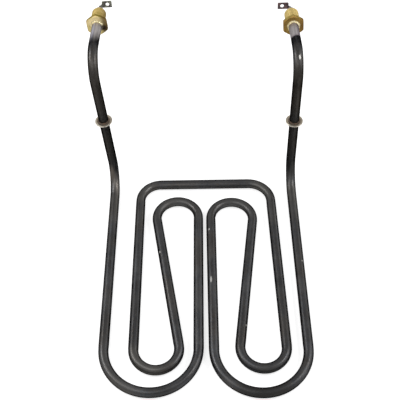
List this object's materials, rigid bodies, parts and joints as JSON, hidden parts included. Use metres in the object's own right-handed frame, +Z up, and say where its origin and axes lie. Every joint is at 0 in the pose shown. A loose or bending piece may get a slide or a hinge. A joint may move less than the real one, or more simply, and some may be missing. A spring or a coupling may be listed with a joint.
{
  "type": "tubular heating element",
  "caption": "Immersion heating element: dark metal sheath bent into a flat serpentine, with two raised legs that end in brass threaded bushings and screw lugs.",
  "frame": {"origin": "on the ground below the middle of the whole part's bounding box", "axes": "+Z up, away from the flat serpentine; +Y from the front bends to the terminals; +X to the right as seen from the front"},
  "size_m": [0.2392, 0.4024, 0.1947],
  "materials": {
    "oxidised_sheath": "dark heat oxide on a stainless sheath, satin",
    "brass": "turned, lightly tarnished",
    "silver_braze": "pale braze metal, satin",
    "washer_steel": "dull, lightly browned",
    "brown_braze": "oxidised braze, rough",
    "nickel_steel": "dull",
    "resin": "cast silicone or resin, matt",
    "ceramic": "unglazed ceramic",
    "oxidised_lug": "dark oxide, satin"
  },
  "bodies": {
    "root": {"heating_tube": "oxidised_sheath", "left_bushing_braze": "silver_braze", "left_ceramic_bushing": "ceramic", "left_end_seal": "resin", "left_leg_washer": "washer_steel", "left_terminal_lug": "oxidised_lug", "left_terminal_pin": "nickel_steel", "left_threaded_bushing": "brass", "left_washer_braze": "brown_braze", "right_bushing_braze": "silver_braze", "right_ceramic_bushing": "ceramic", "right_end_seal": "resin", "right_leg_washer": "washer_steel", "right_terminal_lug": "oxidised_lug", "right_terminal_pin": "nickel_steel", "right_threaded_bushing": "brass", "right_washer_braze": "brown_braze"}
  },
  "joints": []
}
